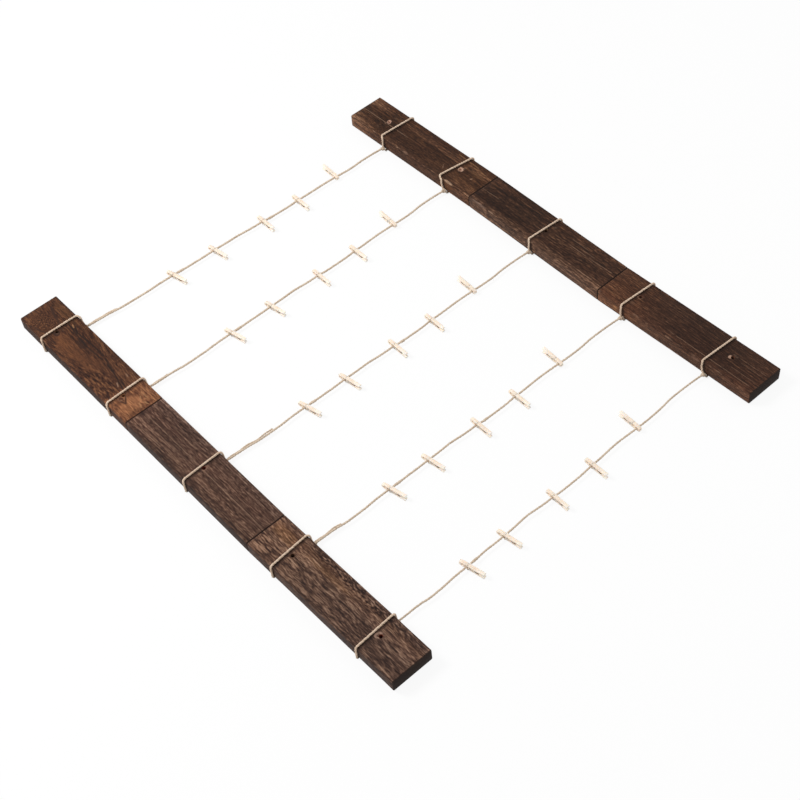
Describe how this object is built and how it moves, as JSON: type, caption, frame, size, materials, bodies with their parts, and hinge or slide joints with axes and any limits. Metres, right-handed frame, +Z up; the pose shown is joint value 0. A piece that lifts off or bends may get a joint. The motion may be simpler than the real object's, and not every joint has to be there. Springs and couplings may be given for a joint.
{
  "type": "clip photo display frame",
  "caption": "Open photo display of jointed dark wooden bars joined by rows of jute twine that carry small sprung wooden clips.",
  "frame": {"origin": "middle of the footprint, on the table that the frame lies on", "axes": "+X from the left bar to the right bar, +Y along the bars away from the viewer, +Z up from the back to the front"},
  "size_m": [0.6294, 0.748, 0.0248],
  "materials": {
    "stained_wood": "dark brown stain, matt, worn at the edges",
    "peg_wood": "bare pale birch, smooth",
    "jute_twine": "natural two-ply jute, slightly hairy",
    "spring_wire": "bright drawn wire"
  },
  "bodies": {
    "frame": {"left_bar_far_section": "stained_wood", "left_bar_middle_section": "stained_wood", "left_bar_near_section": "stained_wood", "right_bar_far_and_middle_sections": "stained_wood", "right_bar_near_section": "stained_wood", "twine_1": "jute_twine", "twine_2": "jute_twine", "twine_3": "jute_twine", "twine_4": "jute_twine", "twine_5": "jute_twine"},
    "clip_11": {"clip_11_lower_leg": "peg_wood"},
    "clip_11_upper": {"clip_11_upper_leg": "peg_wood"},
    "clip_12": {"clip_12_lower_leg": "peg_wood"},
    "clip_12_upper": {"clip_12_upper_leg": "peg_wood"},
    "clip_13": {"clip_13_lower_leg": "peg_wood"},
    "clip_13_upper": {"clip_13_upper_leg": "peg_wood"},
    "clip_14": {"clip_14_lower_leg": "peg_wood"},
    "clip_14_upper": {"clip_14_upper_leg": "peg_wood"},
    "clip_15": {"clip_15_lower_leg": "peg_wood"},
    "clip_15_upper": {"clip_15_upper_leg": "peg_wood"},
    "clip_21": {"clip_21_lower_leg": "peg_wood"},
    "clip_21_upper": {"clip_21_upper_leg": "peg_wood"},
    "clip_22": {"clip_22_lower_leg": "peg_wood"},
    "clip_22_upper": {"clip_22_upper_leg": "peg_wood"},
    "clip_23": {"clip_23_lower_leg": "peg_wood"},
    "clip_23_upper": {"clip_23_upper_leg": "peg_wood"},
    "clip_24": {"clip_24_lower_leg": "peg_wood"},
    "clip_24_upper": {"clip_24_upper_leg": "peg_wood"},
    "clip_25": {"clip_25_lower_leg": "peg_wood"},
    "clip_25_upper": {"clip_25_upper_leg": "peg_wood"},
    "clip_31": {"clip_31_lower_leg": "peg_wood"},
    "clip_31_upper": {"clip_31_upper_leg": "peg_wood"},
    "clip_32": {"clip_32_lower_leg": "peg_wood"},
    "clip_32_upper": {"clip_32_upper_leg": "peg_wood"},
    "clip_33": {"clip_33_lower_leg": "peg_wood"},
    "clip_33_upper": {"clip_33_upper_leg": "peg_wood"},
    "clip_34": {"clip_34_lower_leg": "peg_wood"},
    "clip_34_upper": {"clip_34_upper_leg": "peg_wood"},
    "clip_35": {"clip_35_lower_leg": "peg_wood"},
    "clip_35_upper": {"clip_35_upper_leg": "peg_wood"},
    "clip_41": {"clip_41_lower_leg": "peg_wood"},
    "clip_41_upper": {"clip_41_upper_leg": "peg_wood"},
    "clip_42": {"clip_42_lower_leg": "peg_wood"},
    "clip_42_upper": {"clip_42_upper_leg": "peg_wood"},
    "clip_43": {"clip_43_lower_leg": "peg_wood"},
    "clip_43_upper": {"clip_43_upper_leg": "peg_wood"},
    "clip_44": {"clip_44_lower_leg": "peg_wood"},
    "clip_44_upper": {"clip_44_upper_leg": "peg_wood"},
    "clip_45": {"clip_45_lower_leg": "peg_wood"},
    "clip_45_upper": {"clip_45_upper_leg": "peg_wood"},
    "clip_51": {"clip_51_lower_leg": "peg_wood"},
    "clip_51_upper": {"clip_51_upper_leg": "peg_wood"},
    "clip_52": {"clip_52_lower_leg": "peg_wood"},
    "clip_52_upper": {"clip_52_upper_leg": "peg_wood"},
    "clip_53": {"clip_53_lower_leg": "peg_wood"},
    "clip_53_upper": {"clip_53_upper_leg": "peg_wood"},
    "clip_54": {"clip_54_lower_leg": "peg_wood"},
    "clip_54_upper": {"clip_54_upper_leg": "peg_wood"},
    "clip_55": {"clip_55_lower_leg": "peg_wood"},
    "clip_55_upper": {"clip_55_upper_leg": "peg_wood"}
  },
  "joints": [
    {"name": "clip_11_slide", "type": "slide", "parent": "frame", "child": "clip_11", "axis": [0.9991, -0.0415, 0], "range_m": [-0.0804, 0.0278]},
    {"name": "clip_11_open", "type": "hinge", "parent": "clip_11", "child": "clip_11_upper", "pos_m": [-0.11177, 0.30298, 0.00464], "axis": [0.9816, 0.1908, 0], "range_deg": [0, 10], "stiffness_Nm_per_rad": 0.03},
    {"name": "clip_12_slide", "type": "slide", "parent": "frame", "child": "clip_12", "axis": [0.9991, -0.0415, 0], "range_m": [-0.0278, 0.0359]},
    {"name": "clip_12_open", "type": "hinge", "parent": "clip_12", "child": "clip_12_upper", "pos_m": [-0.04397, 0.3001, 0.00464], "axis": [0.9903, 0.1392, 0], "range_deg": [0, 10], "stiffness_Nm_per_rad": 0.03},
    {"name": "clip_13_slide", "type": "slide", "parent": "frame", "child": "clip_13", "axis": [0.9991, -0.0415, 0], "range_m": [-0.0359, 0.0266]},
    {"name": "clip_13_open", "type": "hinge", "parent": "clip_13", "child": "clip_13_upper", "pos_m": [0.03733, 0.29664, 0.00464], "axis": [0.9998, -0.0175, 0], "range_deg": [0, 10], "stiffness_Nm_per_rad": 0.03},
    {"name": "clip_14_slide", "type": "slide", "parent": "frame", "child": "clip_14", "axis": [0.9991, -0.0415, 0], "range_m": [-0.0266, 0.0305]},
    {"name": "clip_14_open", "type": "hinge", "parent": "clip_14", "child": "clip_14_upper", "pos_m": [0.09761, 0.29413, 0.00464], "axis": [0.9998, -0.0175, 0], "range_deg": [0, 10], "stiffness_Nm_per_rad": 0.03},
    {"name": "clip_15_slide", "type": "slide", "parent": "frame", "child": "clip_15", "axis": [0.9991, -0.0415, 0], "range_m": [-0.0305, 0.0777]},
    {"name": "clip_15_open", "type": "hinge", "parent": "clip_15", "child": "clip_15_upper", "pos_m": [0.16634, 0.30769, 0.00464], "axis": [-0.9986, 0.0523, 0], "range_deg": [0, 10], "stiffness_Nm_per_rad": 0.03},
    {"name": "clip_21_slide", "type": "slide", "parent": "frame", "child": "clip_21", "axis": [1, -0.0079, 0], "range_m": [-0.0894, 0.0275]},
    {"name": "clip_21_open", "type": "hinge", "parent": "clip_21", "child": "clip_21_upper", "pos_m": [-0.12005, 0.16316, 0.00464], "axis": [0.9816, 0.1908, 0], "range_deg": [0, 10], "stiffness_Nm_per_rad": 0.03},
    {"name": "clip_22_slide", "type": "slide", "parent": "frame", "child": "clip_22", "axis": [1, -0.0079, 0], "range_m": [-0.0275, 0.0352]},
    {"name": "clip_22_open", "type": "hinge", "parent": "clip_22", "child": "clip_22_upper", "pos_m": [-0.05402, 0.16259, 0.00464], "axis": [0.9903, 0.1392, 0], "range_deg": [0, 10], "stiffness_Nm_per_rad": 0.03},
    {"name": "clip_23_slide", "type": "slide", "parent": "frame", "child": "clip_23", "axis": [1, -0.0079, 0], "range_m": [-0.0352, 0.0285]},
    {"name": "clip_23_open", "type": "hinge", "parent": "clip_23", "child": "clip_23_upper", "pos_m": [0.02527, 0.16191, 0.00464], "axis": [0.9998, -0.0175, 0], "range_deg": [0, 10], "stiffness_Nm_per_rad": 0.03},
    {"name": "clip_24_slide", "type": "slide", "parent": "frame", "child": "clip_24", "axis": [1, -0.0079, 0], "range_m": [-0.0285, 0.0316]},
    {"name": "clip_24_open", "type": "hinge", "parent": "clip_24", "child": "clip_24_upper", "pos_m": [0.08957, 0.1614, 0.00464], "axis": [0.9998, -0.0175, 0], "range_deg": [0, 10], "stiffness_Nm_per_rad": 0.03},
    {"name": "clip_25_slide", "type": "slide", "parent": "frame", "child": "clip_25", "axis": [1, -0.0079, 0], "range_m": [-0.0316, 0.0835]},
    {"name": "clip_25_open", "type": "hinge", "parent": "clip_25", "child": "clip_25_upper", "pos_m": [0.16006, 0.17723, 0.00464], "axis": [-0.9986, 0.0523, 0], "range_deg": [0, 10], "stiffness_Nm_per_rad": 0.03},
    {"name": "clip_31_slide", "type": "slide", "parent": "frame", "child": "clip_31", "axis": [0.9998, -0.0204, 0], "range_m": [-0.039, 0.0264]},
    {"name": "clip_31_open", "type": "hinge", "parent": "clip_31", "child": "clip_31_upper", "pos_m": [-0.12934, -0.00048, 0.00464], "axis": [0.9816, 0.1908, 0], "range_deg": [0, 10], "stiffness_Nm_per_rad": 0.03},
    {"name": "clip_32_slide", "type": "slide", "parent": "frame", "child": "clip_32", "axis": [0.9998, -0.0204, 0], "range_m": [-0.0264, 0.0351]},
    {"name": "clip_32_open", "type": "hinge", "parent": "clip_32", "child": "clip_32_upper", "pos_m": [-0.06507, -0.00184, 0.00464], "axis": [0.9903, 0.1392, 0], "range_deg": [0, 10], "stiffness_Nm_per_rad": 0.03},
    {"name": "clip_33_slide", "type": "slide", "parent": "frame", "child": "clip_33", "axis": [0.9998, -0.0204, 0], "range_m": [-0.0351, 0.0277]},
    {"name": "clip_33_open", "type": "hinge", "parent": "clip_33", "child": "clip_33_upper", "pos_m": [0.01422, -0.00353, 0.00464], "axis": [0.9998, -0.0175, 0], "range_deg": [0, 10], "stiffness_Nm_per_rad": 0.03},
    {"name": "clip_34_slide", "type": "slide", "parent": "frame", "child": "clip_34", "axis": [0.9998, -0.0204, 0], "range_m": [-0.0277, 0.0334]},
    {"name": "clip_34_open", "type": "hinge", "parent": "clip_34", "child": "clip_34_upper", "pos_m": [0.07676, -0.0048, 0.00464], "axis": [0.9998, -0.0175, 0], "range_deg": [0, 10], "stiffness_Nm_per_rad": 0.03},
    {"name": "clip_35_slide", "type": "slide", "parent": "frame", "child": "clip_35", "axis": [0.9998, -0.0204, 0], "range_m": [-0.0334, 0.0927]},
    {"name": "clip_35_open", "type": "hinge", "parent": "clip_35", "child": "clip_35_upper", "pos_m": [0.15102, 0.01008, 0.00464], "axis": [-0.9986, 0.0523, 0], "range_deg": [0, 10], "stiffness_Nm_per_rad": 0.03},
    {"name": "clip_41_slide", "type": "slide", "parent": "frame", "child": "clip_41", "axis": [0.9998, -0.0189, 0], "range_m": [-0.0614, 0.0249]},
    {"name": "clip_41_open", "type": "hinge", "parent": "clip_41", "child": "clip_41_upper", "pos_m": [-0.13788, -0.16785, 0.00464], "axis": [0.9816, 0.1908, 0], "range_deg": [0, 10], "stiffness_Nm_per_rad": 0.03},
    {"name": "clip_42_slide", "type": "slide", "parent": "frame", "child": "clip_42", "axis": [0.9998, -0.0189, 0], "range_m": [-0.0249, 0.0343]},
    {"name": "clip_42_open", "type": "hinge", "parent": "clip_42", "child": "clip_42_upper", "pos_m": [-0.07662, -0.16906, 0.00464], "axis": [0.9903, 0.1392, 0], "range_deg": [0, 10], "stiffness_Nm_per_rad": 0.03},
    {"name": "clip_43_slide", "type": "slide", "parent": "frame", "child": "clip_43", "axis": [0.9998, -0.0189, 0], "range_m": [-0.0343, 0.0284]},
    {"name": "clip_43_open", "type": "hinge", "parent": "clip_43", "child": "clip_43_upper", "pos_m": [0.00116, -0.1706, 0.00464], "axis": [0.9998, -0.0175, 0], "range_deg": [0, 10], "stiffness_Nm_per_rad": 0.03},
    {"name": "clip_44_slide", "type": "slide", "parent": "frame", "child": "clip_44", "axis": [0.9998, -0.0189, 0], "range_m": [-0.0284, 0.0343]},
    {"name": "clip_44_open", "type": "hinge", "parent": "clip_44", "child": "clip_44_upper", "pos_m": [0.06521, -0.17181, 0.00464], "axis": [0.9998, -0.0175, 0], "range_deg": [0, 10], "stiffness_Nm_per_rad": 0.03},
    {"name": "clip_45_slide", "type": "slide", "parent": "frame", "child": "clip_45", "axis": [0.9998, -0.0189, 0], "range_m": [-0.0343, 0.1025]},
    {"name": "clip_45_open", "type": "hinge", "parent": "clip_45", "child": "clip_45_upper", "pos_m": [0.14123, -0.15685, 0.00464], "axis": [-0.9986, 0.0523, 0], "range_deg": [0, 10], "stiffness_Nm_per_rad": 0.03},
    {"name": "clip_51_slide", "type": "slide", "parent": "frame", "child": "clip_51", "axis": [1, -0.0014, 0], "range_m": [-0.0952, 0.0238]},
    {"name": "clip_51_open", "type": "hinge", "parent": "clip_51", "child": "clip_51_upper", "pos_m": [-0.14642, -0.31041, 0.00464], "axis": [0.9816, 0.1908, 0], "range_deg": [0, 10], "stiffness_Nm_per_rad": 0.03},
    {"name": "clip_52_slide", "type": "slide", "parent": "frame", "child": "clip_52", "axis": [1, -0.0014, 0], "range_m": [-0.0238, 0.0346]},
    {"name": "clip_52_open", "type": "hinge", "parent": "clip_52", "child": "clip_52_upper", "pos_m": [-0.08793, -0.31054, 0.00464], "axis": [0.9903, 0.1392, 0], "range_deg": [0, 10], "stiffness_Nm_per_rad": 0.03},
    {"name": "clip_53_slide", "type": "slide", "parent": "frame", "child": "clip_53", "axis": [1, -0.0014, 0], "range_m": [-0.0346, 0.0288]},
    {"name": "clip_53_open", "type": "hinge", "parent": "clip_53", "child": "clip_53_upper", "pos_m": [-0.00989, -0.31069, 0.00464], "axis": [0.9998, -0.0175, 0], "range_deg": [0, 10], "stiffness_Nm_per_rad": 0.03},
    {"name": "clip_54_slide", "type": "slide", "parent": "frame", "child": "clip_54", "axis": [1, -0.0014, 0], "range_m": [-0.0288, 0.036]},
    {"name": "clip_54_open", "type": "hinge", "parent": "clip_54", "child": "clip_54_upper", "pos_m": [0.05491, -0.31078, 0.00464], "axis": [0.9998, -0.0175, 0], "range_deg": [0, 10], "stiffness_Nm_per_rad": 0.03},
    {"name": "clip_55_slide", "type": "slide", "parent": "frame", "child": "clip_55", "axis": [1, -0.0014, 0], "range_m": [-0.036, 0.1093]},
    {"name": "clip_55_open", "type": "hinge", "parent": "clip_55", "child": "clip_55_upper", "pos_m": [0.1342, -0.2945, 0.00464], "axis": [-0.9986, 0.0523, 0], "range_deg": [0, 10], "stiffness_Nm_per_rad": 0.03}
  ]
}
